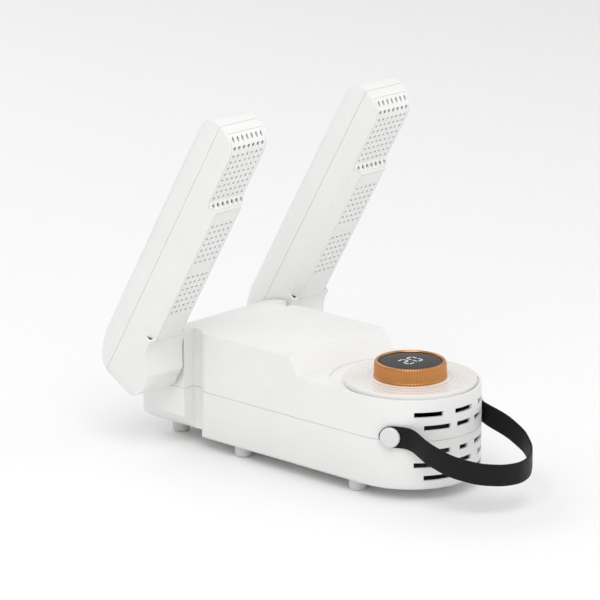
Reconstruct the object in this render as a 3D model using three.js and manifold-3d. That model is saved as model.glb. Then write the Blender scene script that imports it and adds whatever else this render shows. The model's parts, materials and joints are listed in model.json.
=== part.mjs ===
// Folding boot dryer: a warm-air base with two hollow arms that swing down along its sides.
// Millimetres, +Z up, standing on z = 0. The rounded nose with the dial faces -Y and the arms
// hinge at the rear. "Left" is the -X side, as seen by someone who looks at the nose.
import * as THREE from 'three';
import { mergeVertices } from 'three/addons/utils/BufferGeometryUtils.js';
import Module from 'manifold-3d';

const wasm = await Module();
wasm.setup();

// ---------- driving dimensions ----------
const GAP = 0.3;                 // clearance between pieces that touch
const RUNNING = 0.4;             // radial clearance round anything that turns
const DEG = Math.PI / 180;

const FOOT_HEIGHT = 10;
const FOOT_RADIUS = 7.5;
const FOOT_TAPER = 1.5;          // how much the foot narrows towards the floor
const FOOT_INSET = 15;           // from the side wall to a foot's axis
const FOOT_REAR_X = 30;          // the rear pair stands closer together

const WALL = 2.4;
const NOSE_R = 60;               // half the width of the body
const SHELL_BOTTOM = FOOT_HEIGHT;
const BODY_CHAMFER = 5;          // bottom edge of the lower shell
const PART_Z = SHELL_BOTTOM + 43.2;
const LOW_DECK_Z = SHELL_BOTTOM + 78.5;
const HIGH_DECK_Z = SHELL_BOTTOM + 95.2;
const STEP_FOOT_Y = 73;          // where the sloped face leaves the low deck
const STEP_RUN = 10;
const SIDE_END_Y = 190;          // where the side walls turn in
const NECK_HALF = NOSE_R - 8;    // half width of the waist behind the side walls
const NECK_LENGTH = 12;
const WAIST_FILLET = 11;
const BLOCK_HALF = NOSE_R + 4.5; // half width of the hinge block
const BLOCK_LENGTH = 54;
const BLOCK_FILLET = 8;
const BLOCK_RISE = 4;            // the block's underside lies above the shell's
const BLOCK_SWEEP = 18;          // and rises this much more towards its ends
const BLOCK_FLAT = 36;           // half width of the flat part of that underside
const PLAN_SEGMENTS = 12;        // a half circle of the plan has twice as many facets
const REAR_CORNER = 18;          // rounding of the body's lower rear corner
const REAR_DROP = 26;            // fall of the top surface towards the rear
const CREST_LENGTH = 8;          // flat deck behind the side walls before the fall

const HINGE_Y = SIDE_END_Y + 36;
const HINGE_Z = SHELL_BOTTOM + 68;
const TRUNNION_R = 13;
const TRUNNION_WALL = 2.2;
const TRUNNION_REACH = 12;       // how far it stands into the block and into the arm
const FLANGE_R = 17;
const FLANGE_T = 2;

const ARM_TILT = 30.2;           // forward lean at rest, degrees from upright
const ARM_HALF = 22.5;
const ARM_GAP = 2.5;             // from the hinge block to an arm
const ARM_X = BLOCK_HALF + ARM_GAP + ARM_HALF;
const ARM_WALL = 2;
const ARM_TOP = 256;             // along the arm from the hinge axis
const ARM_FRONT = 12;            // the outlet strip's plane, in front of the hinge axis
const ARM_BACK = 41;             // the back's plane, behind the hinge axis
const HEAD_LENGTH = 71.5;        // the stepped-back head, down from the arm's top
const HEAD_RAMP = 6;             // length of the slope at its foot
const HEAD_RECESS = 7.4;
const HEAD_BACK_RECESS = 4;
const HEAD_BACK_RAMP = 7;
const CROWN_BACK = 18;           // the head's highest line, behind the hinge axis
const CROWN_FRONT_FALL = 18;     // length of the curve from the crown down to the head's face
const CROWN_BACK_FALL = 22;      // and down to its back
const HUB_R = 26;
const HUB_BULGE_START = 32;      // where the front leaves the strip's plane for the hub
const HUB_BULGE_ANGLE = 20;      // where it meets the hub's round, degrees above the axis
const HUB_HEEL_ANGLE = 75;       // where the round leaves for the back, degrees below the axis
const BACK_ROUND = 46;           // radius that carries the back round to the hub
const STRIP_HALF = 15.5;
const HEAD_HALF = 21;
const SEAM_BACK = 16;            // the two arm shells meet this far behind the hinge axis
const BACK_CORNER = 17;          // rounding of the arm's back edges
const ROOT_CORNER = 17;          // rounding of the arm's outer lower corner
const ROOT_FRONT_CORNER = 6;     // rounding of the hub's front edges
const PANEL_T = 1.6;
const PANEL_EDGE = 1;            // width of the arm's own rim beside an outlet panel
const HEAD_PANEL_WRAP = 12;      // how far the head's panel runs back over the curve

const HOLE_PITCH = 5.5;
const ROW_PITCH = 6.6;
const HOLE_R = 1.35;
const BIG_HOLE_R = 1.75;
const HOLE_SIDES = 5;
const HOLE_DEPTH = 8;            // length of a cutter, half of it inside the arm
const STRIP_COLUMNS = 5;
const STRIP_GROUPS = 2;
const STRIP_ROWS = 7;            // rows in a group
const STRIP_TOP_ROW = 17.7;      // from the strip's highest row up to the head
const STRIP_GROUP_STEP = 57;     // from one group of rows to the next
const HEAD_COLUMNS = 7;
const HEAD_FIRST_ROW = 9.5;      // from the foot of the head to its lowest plain row
const HEAD_LAST_ROW = 16;        // from its highest plain row, or less, up to the arm's top
const HEAD_ROW_PITCH = 6.42;
const HEAD_LIP_ROW = 3.1;        // the row of larger holes on the slope at its foot
const CROWN_ROWS = [             // share of the curve from the crown to the face, radius, stretch
  { share: 0.75, radius: BIG_HOLE_R, stretch: 1.1 },
  { share: 0.49, radius: HOLE_R, stretch: 2.3 },
];

const WELL_R = NOSE_R - 2;       // shallow well that the dial plate lies in
const WELL_DEPTH = 1.4;
const WELL_BACK = 13;            // how far the well runs on behind the nose axis
const PLATE_R = WELL_R - 2;
const PLATE_RISE = 4.6;
const PLATE_CORNER = 2.2;
const PLATE_RIM = 7;             // width of the raised rim round the sunk middle
const PLATE_SLOPE = 2;
const PLATE_SINK = 1.4;
const KNOB_R = 31.2;
const KNOB_TOP_R = 29.4;
const KNOB_HEIGHT = 15.4;
const KNOB_LIP = 2.4;
const KNOB_RIBS = 26;
const KNOB_RIB_DEPTH = 0.9;
const KNOB_GROOVE_R = 0.8;
const LENS_R = 26.6;
const LENS_T = 2;
const LENS_SINK = 0.8;           // the lens lies a little below the knob's rim
const POST_R = 19;
const POST_DROP = 14;            // how far the post hangs below the deck

const VENT_HEIGHT = 4.4;
const VENT_ROWS = [              // height above the shell's bottom, then [from, to] in degrees
  { z: 66, slots: [[-10, 10], [21.5, 45.5]] },
  { z: 54.5, slots: [[-8, 8], [14.5, 37.5]] },
  { z: 33.5, slots: [[-5, 5], [14.5, 37.5]] },
  { z: 22.5, slots: [[-10, 10], [21.5, 45.5]] },
  { z: 11.3, slots: [[-8, 8], [14.5, 37.5]] },
];

const STUD_ANGLE = 26.4;         // from the X axis towards the nose
const STUD_Z = SHELL_BOTTOM + 47.5;
const STUD_HEAD_R = 8.6;
const STUD_HEAD_T = 3;
const STUD_SHANK_R = 3;
const STRAP_T = 2.2;
const STRAP_W = 18.5;
const TAB_R = 12;
const STRAP_LEAVE = 17;          // along the strap from the stud to where the loop begins
const STRAP_STEPS = 26;
const STRAP_END_W = 8;           // the loop is narrow at its ends, so it clears the nose as it swings up
const STRAP_TAPER = 16;          // length of that narrowing
const STRAP_HALF_ROUTE = [       // x from the nose's side, y and drop below the stud, back to front
  [NOSE_R - 7.5, -62, 7.5], [NOSE_R - 10, -84, 15], [NOSE_R - 22, -106, 20.5], [NOSE_R - 42, -118.5, 23],
];
const STRAP_FRONT = [0, -121.5, 23.5];

const FAN_R = NOSE_R - 22;
const FAN_HEIGHT = 24;
const FAN_BLADES = 14;
const FAN_BASE_Z = SHELL_BOTTOM + 22;
const SHROUD_WALL = 2;
const MOTOR_R = 15;
const MOTOR_H = 16;
const SHAFT_R = 2.5;
const HEATER = { width: 76, depth: 16, height: 44, y: 104, fins: 9, finT: 2.4 };
const BOARD = { width: 84, depth: 62, t: 1.6, y: 145, z: SHELL_BOTTOM + 62 };
const INLET = { width: 24, height: 16, depth: 19, wall: 2.6, z: SHELL_BOTTOM + 26 };
const INLET_PIN = { x: 4, half: 1.1, length: 4 };
const MANIFOLD_R = 17;
const MANIFOLD_WALL = 2;
const DUCT_HALF = 26;
const DUCT_LENGTH = 36;          // forward from the hinge axis

// ---------- finishes ----------
const finish = (color, roughness, metalness = 0) => () =>
  new THREE.MeshStandardMaterial({ color, roughness, metalness });
const FINISH = {
  white: finish(0xf1f1f0, 0.42),
  plate: finish(0xece9e4, 0.2),
  bronze: finish(0xa8683a, 0.32, 0.9),
  glass: finish(0x101214, 0.08),
  strap: finish(0x141414, 0.6),
  rubber: finish(0xd9d9d7, 0.8),
  stud: finish(0xdededc, 0.35),
  inner: finish(0x55595c, 0.6),
  metal: finish(0xb9bcc0, 0.35, 0.9),
  board: finish(0x1e5b3a, 0.6),
};

// ---------- solids ----------
function solid(geometry) {
  const bare = geometry.clone();
  bare.deleteAttribute('normal');
  bare.deleteAttribute('uv');
  const merged = mergeVertices(bare, 1e-4);
  return new wasm.Manifold(new wasm.Mesh({
    numProp: 3,
    vertProperties: new Float32Array(merged.attributes.position.array),
    triVerts: new Uint32Array(merged.index.array),
  }));
}

function geometryOf(body) {
  const mesh = body.getMesh();
  const geometry = new THREE.BufferGeometry();
  geometry.setAttribute('position', new THREE.BufferAttribute(new Float32Array(mesh.vertProperties), 3));
  geometry.setIndex(new THREE.BufferAttribute(new Uint32Array(mesh.triVerts), 1));
  geometry.computeVertexNormals();
  return geometry;
}

function piece(name, body, makeMaterial) {
  const mesh = new THREE.Mesh(geometryOf(body), makeMaterial());
  mesh.name = name;
  return mesh;
}

const cutAll = (body, cutters) => cutters.reduce((rest, cutter) => rest.subtract(cutter), body);
const joinAll = (bodies) => bodies.reduce((sum, body) => sum.add(body));

// A flat outline in XY, raised from z0 to z1.
function raise(shape, z0, z1, curveSegments = 12) {
  const geometry = new THREE.ExtrudeGeometry(shape, { depth: z1 - z0, bevelEnabled: false, curveSegments });
  geometry.translate(0, 0, z0);
  return solid(geometry);
}

// A side outline, drawn as (y, z), carried across from x0 to x1.
function across(shape, x0, x1, curveSegments = 12) {
  const geometry = new THREE.ExtrudeGeometry(shape, { depth: x1 - x0, bevelEnabled: false, curveSegments });
  geometry.applyMatrix4(new THREE.Matrix4().makeBasis(
    new THREE.Vector3(0, 1, 0), new THREE.Vector3(0, 0, 1), new THREE.Vector3(1, 0, 0)));
  geometry.translate(x0, 0, 0);
  return solid(geometry);
}

// A front outline, drawn as (x, z), carried back from y0 to y1.
function backward(shape, y0, y1, curveSegments = 12) {
  const geometry = new THREE.ExtrudeGeometry(shape, { depth: y1 - y0, bevelEnabled: false, curveSegments });
  geometry.rotateX(Math.PI / 2);
  geometry.translate(0, y1, 0);
  return solid(geometry);
}

function box(x0, x1, y0, y1, z0, z1) {
  const geometry = new THREE.BoxGeometry(x1 - x0, y1 - y0, z1 - z0);
  geometry.translate((x0 + x1) / 2, (y0 + y1) / 2, (z0 + z1) / 2);
  return solid(geometry);
}

// A turned piece on the Z axis from a closed profile of [radius, z] points.
function turned(profile, sides) {
  const points = profile.map(([r, z]) => new THREE.Vector2(r, z));
  const geometry = new THREE.LatheGeometry(points, sides);
  geometry.rotateX(Math.PI / 2);
  return solid(geometry);
}

const rod = (radius, z0, z1, sides = 32) => turned([[0, z0], [radius, z0], [radius, z1], [0, z1]], sides);
const pipe = (inner, outer, z0, z1, sides = 32) =>
  turned([[inner, z0], [outer, z0], [outer, z1], [inner, z1], [inner, z0]], sides);
const alongX = (body) => body.rotate([0, 90, 0]);

// A skin over a row of rings with the same number of points, closed at both ends.
function loft(rings) {
  const count = rings[0].length;
  const positions = rings.flat().flatMap((point) => point.toArray());
  const faces = [];
  for (let row = 0; row < rings.length - 1; row += 1) {
    for (let i = 0; i < count; i += 1) {
      const a = row * count + i;
      const b = row * count + (i + 1) % count;
      faces.push(a, b, b + count, a, b + count, a + count);
    }
  }
  const last = (rings.length - 1) * count;
  for (let i = 1; i < count - 1; i += 1) {
    faces.push(0, i + 1, i, last, last + i, last + i + 1);
  }
  const geometry = new THREE.BufferGeometry();
  geometry.setAttribute('position', new THREE.Float32BufferAttribute(positions, 3));
  geometry.setIndex(faces);
  return solid(geometry);
}

// ---------- body outlines ----------
const REAR_Y = SIDE_END_Y + NECK_LENGTH + BLOCK_LENGTH;
const BLOCK_Y = SIDE_END_Y + NECK_LENGTH;

// Plan of the body: round nose, straight sides, a waist, and the wide hinge block.
function bodyPlan(inset) {
  const nose = NOSE_R - inset;
  const waist = NECK_HALF - inset;
  const block = BLOCK_HALF - inset;
  const round = WAIST_FILLET - inset / 2;
  const corner = BLOCK_FILLET - inset / 2;
  const sideEnd = SIDE_END_Y - inset;
  const blockStart = BLOCK_Y + inset;
  const rear = REAR_Y - inset;
  const shape = new THREE.Shape();
  shape.absarc(0, 0, nose, Math.PI, 2 * Math.PI, false);
  shape.lineTo(nose, sideEnd - round);
  shape.quadraticCurveTo(nose, sideEnd, waist, sideEnd);
  shape.lineTo(waist, blockStart);
  shape.lineTo(block, blockStart);
  shape.lineTo(block, rear - corner);
  shape.quadraticCurveTo(block, rear, block - corner, rear);
  shape.lineTo(corner - block, rear);
  shape.quadraticCurveTo(-block, rear, -block, rear - corner);
  shape.lineTo(-block, blockStart);
  shape.lineTo(-waist, blockStart);
  shape.lineTo(-waist, sideEnd);
  shape.quadraticCurveTo(-nose, sideEnd, -nose, sideEnd - round);
  shape.closePath();
  return shape;
}

// Side view of the upper shell's outer or inner surface, down to z0.
function upperSide(inset, z0) {
  const front = -NOSE_R - 1;
  const low = LOW_DECK_Z - inset;
  const high = HIGH_DECK_Z - inset;
  const crest = SIDE_END_Y + CREST_LENGTH;
  const shape = new THREE.Shape();
  shape.moveTo(front, z0);
  shape.lineTo(REAR_Y + 1, z0);
  shape.lineTo(REAR_Y + 1, high - REAR_DROP);
  shape.quadraticCurveTo(REAR_Y - BLOCK_LENGTH / 3, high, crest, high);
  shape.lineTo(STEP_FOOT_Y + STEP_RUN + inset, high);
  shape.lineTo(STEP_FOOT_Y + inset, low);
  shape.lineTo(front, low);
  shape.closePath();
  return shape;
}

// Side view of the lower shell: flat bottom, then the underside of the hinge block.
function lowerSide(inset, z1) {
  const bottom = SHELL_BOTTOM + inset;
  const shape = new THREE.Shape();
  shape.moveTo(-NOSE_R - 1, bottom);
  shape.lineTo(SIDE_END_Y - REAR_CORNER - inset, bottom);
  shape.quadraticCurveTo(SIDE_END_Y - inset, bottom, SIDE_END_Y - inset, bottom + BLOCK_RISE);
  shape.lineTo(REAR_Y - BLOCK_FILLET - inset, bottom + BLOCK_RISE);
  shape.quadraticCurveTo(REAR_Y - inset, bottom + BLOCK_RISE, REAR_Y + 1, bottom + BLOCK_RISE + BLOCK_FILLET);
  shape.lineTo(REAR_Y + 1, z1);
  shape.lineTo(-NOSE_R - 1, z1);
  shape.closePath();
  return shape;
}

// Front view of the lower shell, with its lower edges swept up from the flat of its bottom.
function lowerFront(half, flat, rise, inset, z1) {
  const bottom = SHELL_BOTTOM + inset;
  const edge = half - inset;
  const inner = flat - inset;
  const shape = new THREE.Shape();
  shape.moveTo(-inner, bottom);
  shape.lineTo(inner, bottom);
  shape.quadraticCurveTo((inner + 2 * edge) / 3, bottom + rise * 0.15, edge, bottom + rise);
  shape.lineTo(edge, z1);
  shape.lineTo(-edge, z1);
  shape.lineTo(-edge, bottom + rise);
  shape.quadraticCurveTo(-(inner + 2 * edge) / 3, bottom + rise * 0.15, -inner, bottom);
  return shape;
}

// Ring that takes the lower edge off the round nose.
function noseEdge(inset) {
  const radius = NOSE_R - inset;
  const bottom = SHELL_BOTTOM + inset;
  return turned([
    [radius - BODY_CHAMFER, bottom - 1], [radius + 3, bottom - 1], [radius + 3, bottom + BODY_CHAMFER],
    [radius, bottom + BODY_CHAMFER], [radius - BODY_CHAMFER * 0.35, bottom + BODY_CHAMFER * 0.35],
    [radius - BODY_CHAMFER, bottom], [radius - BODY_CHAMFER, bottom - 1],
  ], 4 * PLAN_SEGMENTS).intersect(box(-bodyReach, bodyReach, -NOSE_R - 4, 0, 0, PART_Z));
}

const bodyReach = BLOCK_HALF + 1;
const upperForm = (inset, z0) => across(upperSide(inset, z0), -bodyReach, bodyReach, 8)
  .intersect(raise(bodyPlan(inset), z0, HIGH_DECK_Z + 1, PLAN_SEGMENTS));

function lowerForm(inset, z1) {
  const main = lowerFront(NOSE_R, NOSE_R - BODY_CHAMFER, BODY_CHAMFER, inset, z1);
  const block = lowerFront(BLOCK_HALF, BLOCK_FLAT, BLOCK_SWEEP, inset, z1);
  const front = backward(main, -NOSE_R - 2, SIDE_END_Y - inset + 0.5, 6)
    .add(backward(block, SIDE_END_Y - inset, REAR_Y + 2, 6));
  return across(lowerSide(inset, z1), -bodyReach, bodyReach, 6)
    .intersect(raise(bodyPlan(inset), SHELL_BOTTOM, z1, PLAN_SEGMENTS))
    .intersect(front)
    .subtract(noseEdge(inset));
}

// ---------- vents ----------
// One curved slot through the nose wall, between two angles measured from straight ahead.
function ventCutter(z, from, to) {
  const middle = SHELL_BOTTOM + z;
  const shape = new THREE.Shape();
  const outer = NOSE_R + 2;
  const inner = NOSE_R - WALL - 2;
  const start = (from - 90) * DEG;
  const end = (to - 90) * DEG;
  shape.absarc(0, 0, outer, start, end, false);
  shape.absarc(0, 0, inner, end, start, true);
  shape.closePath();
  return raise(shape, middle - VENT_HEIGHT / 2, middle + VENT_HEIGHT / 2, 1);
}

function ventCutters() {
  return VENT_ROWS.flatMap(({ z, slots }) => slots.flatMap(([from, to]) => {
    const cutters = [ventCutter(z, from, to)];
    if (from > 0) cutters.push(ventCutter(z, -to, -from));
    return cutters;
  }));
}

// ---------- strap seats ----------
const sides = [{ name: 'left', sign: -1 }, { name: 'right', sign: 1 }];

// Moves a solid made on the Z axis at the origin on to the nose wall at a stud.
function atStud(body, sign) {
  const turn = sign > 0 ? -STUD_ANGLE : 180 + STUD_ANGLE;
  return body.rotate([0, 90, 0]).rotate([0, 0, turn]).translate([0, 0, STUD_Z]);
}

const studHole = (sign) => atStud(rod(STUD_SHANK_R + GAP, NOSE_R - WALL - 4, NOSE_R + 4, 16), sign);

function strapStud(sign) {
  const tabOuter = NOSE_R + 2 * GAP + STRAP_T;
  const start = tabOuter + GAP;
  const crown = start + STUD_HEAD_T;
  const tail = NOSE_R - WALL - 3;
  return atStud(turned([
    [0, tail], [STUD_SHANK_R, tail], [STUD_SHANK_R, start], [STUD_HEAD_R, start],
    [STUD_HEAD_R, crown - 1], [STUD_HEAD_R - 1.2, crown - 0.2], [0, crown],
  ], 16), sign);
}

// ---------- base shells ----------
function upperShell() {
  const wellShape = new THREE.Shape();
  wellShape.absarc(0, 0, WELL_R, Math.PI, 2 * Math.PI, false);
  wellShape.absarc(0, WELL_BACK, WELL_R, 0, Math.PI, false);
  wellShape.closePath();
  const cutters = [
    upperForm(WALL, PART_Z - 1),
    raise(wellShape, LOW_DECK_Z - WELL_DEPTH, LOW_DECK_Z + 1, PLAN_SEGMENTS),
    rod(POST_R + GAP, LOW_DECK_Z - WALL - 3, LOW_DECK_Z + 1, 24),
    alongX(rod(TRUNNION_R + RUNNING, -BLOCK_HALF - 1, BLOCK_HALF + 1, 24)).translate([0, HINGE_Y, HINGE_Z]),
    ...ventCutters(),
    ...sides.map(({ sign }) => studHole(sign)),
  ];
  return cutAll(upperForm(0, PART_Z + GAP / 2), cutters);
}

function inletWindow(clearance) {
  const half = INLET.width / 2 + clearance;
  return box(-half, half, REAR_Y - WALL - 4, REAR_Y + 2,
    INLET.z - INLET.height / 2 - clearance, INLET.z + INLET.height / 2 + clearance);
}

function lowerShell() {
  const cutters = [
    lowerForm(WALL, PART_Z + 1),
    inletWindow(GAP),
    ...ventCutters(),
    ...sides.map(({ sign }) => studHole(sign)),
  ];
  return cutAll(lowerForm(0, PART_Z - GAP / 2), cutters);
}

// ---------- feet ----------
const footX = NOSE_R - FOOT_INSET;
const footPlaces = {
  front: { x: footX, y: 18 },
  middle: { x: footX, y: 150 },
  rear: { x: FOOT_REAR_X, y: REAR_Y - 16 },
};

function foot(place, sign) {
  const top = place === 'rear' ? SHELL_BOTTOM + BLOCK_RISE - GAP : SHELL_BOTTOM - GAP;
  const { x, y } = footPlaces[place];
  return turned([
    [0, 0], [FOOT_RADIUS - FOOT_TAPER, 0], [FOOT_RADIUS - FOOT_TAPER / 2, 1],
    [FOOT_RADIUS, top], [0, top],
  ], 12).translate([sign * x, y, 0]);
}

// ---------- dial ----------
const wellZ = LOW_DECK_Z - WELL_DEPTH;
const plateZ = wellZ + GAP + PLATE_RISE;

function dialPlate() {
  return turned([
    [POST_R + GAP, wellZ + GAP], [PLATE_R, wellZ + GAP], [PLATE_R, plateZ - PLATE_CORNER],
    [PLATE_R - PLATE_CORNER * 0.3, plateZ - PLATE_CORNER * 0.3], [PLATE_R - PLATE_CORNER, plateZ],
    [PLATE_R - PLATE_RIM, plateZ], [PLATE_R - PLATE_RIM - PLATE_SLOPE, plateZ - PLATE_SINK],
    [POST_R + GAP, plateZ - PLATE_SINK], [POST_R + GAP, wellZ + GAP],
  ], 36);
}

const knobZ = plateZ - PLATE_SINK + GAP;
const knobTopZ = knobZ + KNOB_HEIGHT;

// The turning ring: a ribbed skirt with a plain lip round the lens.
function knobRing() {
  const bore = LENS_R + RUNNING;
  const innerStep = POST_R + RUNNING;
  const seat = knobTopZ - LENS_SINK - LENS_T - GAP - RUNNING;
  const body = turned([
    [innerStep, knobZ], [KNOB_R, knobZ], [KNOB_R, knobZ + 1], [KNOB_TOP_R + 0.3, knobTopZ - KNOB_LIP],
    [KNOB_TOP_R, knobTopZ - 0.8], [KNOB_TOP_R - 0.8, knobTopZ], [bore, knobTopZ],
    [bore, seat], [innerStep, seat], [innerStep, knobZ],
  ], KNOB_RIBS);
  const lean = Math.atan((KNOB_R - KNOB_TOP_R) / KNOB_HEIGHT);
  const grooves = Array.from({ length: KNOB_RIBS }, (_, i) => {
    const groove = new THREE.CylinderGeometry(KNOB_GROOVE_R, KNOB_GROOVE_R, KNOB_HEIGHT, 4);
    groove.rotateX(Math.PI / 2);
    groove.rotateY(-lean);
    groove.translate(KNOB_R - KNOB_RIB_DEPTH / 2, 0, knobZ + KNOB_HEIGHT / 2 - KNOB_LIP);
    groove.rotateZ((i + 0.5) * 2 * Math.PI / KNOB_RIBS);
    return solid(groove);
  });
  return body.subtract(joinAll(grooves));
}

function displayPost() {
  const top = knobTopZ - LENS_SINK - LENS_T - GAP;
  const flange = top - RUNNING;
  return rod(POST_R, LOW_DECK_Z - WALL - POST_DROP, flange, 24);
}

function displayLens() {
  const bottom = knobTopZ - LENS_SINK - LENS_T;
  return turned([
    [0, bottom], [LENS_R, bottom], [LENS_R, bottom + LENS_T - 0.3], [LENS_R - 0.3, bottom + LENS_T],
    [0, bottom + LENS_T],
  ], 32);
}

// ---------- inside the base ----------
function fanImpeller() {
  const hub = pipe(SHAFT_R + GAP, 9, FAN_BASE_Z, FAN_BASE_Z + FAN_HEIGHT - 6, 16);
  const disc = pipe(SHAFT_R + GAP, FAN_R, FAN_BASE_Z, FAN_BASE_Z + 1.6, 28);
  const blades = Array.from({ length: FAN_BLADES }, (_, i) => {
    const blade = box(FAN_R - 15, FAN_R - 0.5, -0.8, 0.8, FAN_BASE_Z + 0.8, FAN_BASE_Z + FAN_HEIGHT);
    return blade.translate([0, 7, 0]).rotate([0, 0, i * 360 / FAN_BLADES]);
  });
  return joinAll([hub, disc, ...blades]);
}

function fanShroud() {
  const inner = FAN_R + 4;
  const ring = pipe(inner, inner + SHROUD_WALL, SHELL_BOTTOM + WALL + GAP, FAN_BASE_Z + FAN_HEIGHT + 5, 28);
  const outlet = box(-24, 24, 20, inner + 10, FAN_BASE_Z - 2, FAN_BASE_Z + FAN_HEIGHT + 10);
  return ring.subtract(outlet);
}

function fanMotor() {
  const bottom = SHELL_BOTTOM + WALL + GAP;
  const top = bottom + MOTOR_H;
  return turned([
    [0, bottom], [MOTOR_R, bottom], [MOTOR_R, top], [SHAFT_R + 2, top], [SHAFT_R + 2, top + 1],
    [SHAFT_R, top + 1], [SHAFT_R, FAN_BASE_Z + FAN_HEIGHT - 8], [0, FAN_BASE_Z + FAN_HEIGHT - 8],
  ], 16);
}

function heaterCore() {
  const { width, depth, height, y, fins, finT } = HEATER;
  const z0 = SHELL_BOTTOM + WALL + GAP;
  const frame = box(-width / 2, width / 2, y, y + depth, z0, z0 + height);
  const open = (width - (fins + 1) * finT) / fins;
  const windows = Array.from({ length: fins }, (_, i) => {
    const x = -width / 2 + finT + i * (open + finT);
    return box(x, x + open, y - 1, y + depth + 1, z0 + finT, z0 + height - finT);
  });
  return cutAll(frame, windows);
}

function mainBoard() {
  const { width, depth, t, y, z } = BOARD;
  return box(-width / 2, width / 2, y - depth / 2, y + depth / 2, z, z + t);
}

// Air crosses the hinge block in this tee, from the heater to the two trunnions.
function airManifold() {
  const end = BLOCK_HALF - WALL - TRUNNION_REACH - 6;
  const front = HINGE_Y - DUCT_LENGTH;
  const ductHalf = MANIFOLD_R - 3;
  const inner = MANIFOLD_WALL;
  const onAxis = (body) => alongX(body).translate([0, HINGE_Y, HINGE_Z]);
  const tube = onAxis(rod(MANIFOLD_R, -end, end, 24));
  const duct = box(-DUCT_HALF, DUCT_HALF, front, HINGE_Y, HINGE_Z - ductHalf, HINGE_Z + ductHalf);
  const bore = onAxis(rod(MANIFOLD_R - inner, -end - 1, end + 1, 24));
  const throat = box(inner - DUCT_HALF, DUCT_HALF - inner, front - 1, HINGE_Y,
    HINGE_Z - ductHalf + inner, HINGE_Z + ductHalf - inner);
  return cutAll(tube.add(duct), [bore, throat]);
}

function powerInlet() {
  const { width, height, depth, wall, z } = INLET;
  const body = box(-width / 2, width / 2, REAR_Y - depth, REAR_Y - 0.2, z - height / 2, z + height / 2);
  const mouth = box(-width / 2 + wall, width / 2 - wall, REAR_Y - depth + wall, REAR_Y + 1,
    z - height / 2 + wall, z + height / 2 - wall);
  const root = REAR_Y - depth + wall;
  const pins = sides.map(({ sign }) => box(
    sign * INLET_PIN.x - INLET_PIN.half, sign * INLET_PIN.x + INLET_PIN.half,
    root - 0.5, root + INLET_PIN.length, z - INLET_PIN.half, z + INLET_PIN.half));
  return joinAll([body.subtract(mouth), ...pins]);
}

// ---------- arms ----------
const HEAD_START = ARM_TOP - HEAD_LENGTH;
const HEAD_PLANE = -ARM_FRONT + HEAD_RECESS;

// Side view of the curve from the crown of the head down to its perforated face, as (y, z).
function crownCurve(inset) {
  const face = HEAD_PLANE + inset;
  const top = ARM_TOP - inset;
  return new THREE.CubicBezierCurve(
    new THREE.Vector2(CROWN_BACK, top),
    new THREE.Vector2(CROWN_BACK - (CROWN_BACK - face) / 2, top),
    new THREE.Vector2(face, top - CROWN_FRONT_FALL / 3),
    new THREE.Vector2(face, top - CROWN_FRONT_FALL));
}

// An arm is drawn upright on its hinge axis: x across, y back, z along the arm.
function armSide(inset) {
  const front = -ARM_FRONT + inset;
  const back = ARM_BACK - inset;
  const headBack = back - HEAD_BACK_RECESS;
  const hub = HUB_R - inset;
  const top = ARM_TOP - inset;
  const crown = crownCurve(inset);
  const bulge = HUB_BULGE_ANGLE * DEG;
  const shape = new THREE.Shape();
  shape.moveTo(front, HEAD_START - inset / 2);
  shape.lineTo(front, HUB_BULGE_START);
  shape.quadraticCurveTo(front, HUB_BULGE_START - 8, -hub * Math.cos(bulge), hub * Math.sin(bulge));
  shape.absarc(0, 0, hub, Math.PI - bulge, 2 * Math.PI - HUB_HEEL_ANGLE * DEG, false);
  shape.bezierCurveTo(hub * 0.95, -hub * 0.8, back, 5, back, BACK_ROUND);
  shape.lineTo(back, HEAD_START - 2);
  shape.lineTo(headBack, HEAD_START - 2 + HEAD_BACK_RAMP);
  shape.lineTo(headBack, top - CROWN_BACK_FALL);
  shape.bezierCurveTo(headBack, top - CROWN_BACK_FALL * 0.4, headBack - 8, top, CROWN_BACK, top);
  shape.curves.push(crown);
  shape.currentPoint.copy(crown.v3);
  shape.lineTo(HEAD_PLANE + inset, HEAD_START + HEAD_RAMP - inset / 2);
  shape.closePath();
  return shape;
}

// Section across an arm: narrow flat front, flaring flanks, rounded back.
function armSection(inset) {
  const front = -ARM_FRONT + inset;
  const headPlane = HEAD_PLANE + inset;
  const back = ARM_BACK - inset;
  const strip = STRIP_HALF - inset;
  const head = HEAD_HALF - inset;
  const half = ARM_HALF - inset;
  const shape = new THREE.Shape();
  shape.moveTo(-strip, front);
  shape.lineTo(strip, front);
  shape.lineTo(head, headPlane);
  shape.quadraticCurveTo(half, headPlane + 5, half, headPlane + 14);
  shape.lineTo(half, back - BACK_CORNER);
  shape.quadraticCurveTo(half, back, half - BACK_CORNER, back);
  shape.lineTo(BACK_CORNER - half, back);
  shape.quadraticCurveTo(-half, back, -half, back - BACK_CORNER);
  shape.lineTo(-half, headPlane + 14);
  shape.quadraticCurveTo(-half, headPlane + 5, -head, headPlane);
  shape.closePath();
  return shape;
}

// Front view: the outer lower corner is rounded, the inner one is square where the hub seats.
function armFront(inset, sign) {
  const half = ARM_HALF - inset;
  const bottom = -HUB_R + inset;
  const top = ARM_TOP + 1;
  const shape = new THREE.Shape();
  shape.moveTo(-sign * half, bottom);
  shape.lineTo(sign * (half - ROOT_CORNER), bottom);
  shape.quadraticCurveTo(sign * half, bottom, sign * half, bottom + ROOT_CORNER);
  shape.lineTo(sign * half, top);
  shape.lineTo(-sign * half, top);
  shape.closePath();
  return shape;
}

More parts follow.
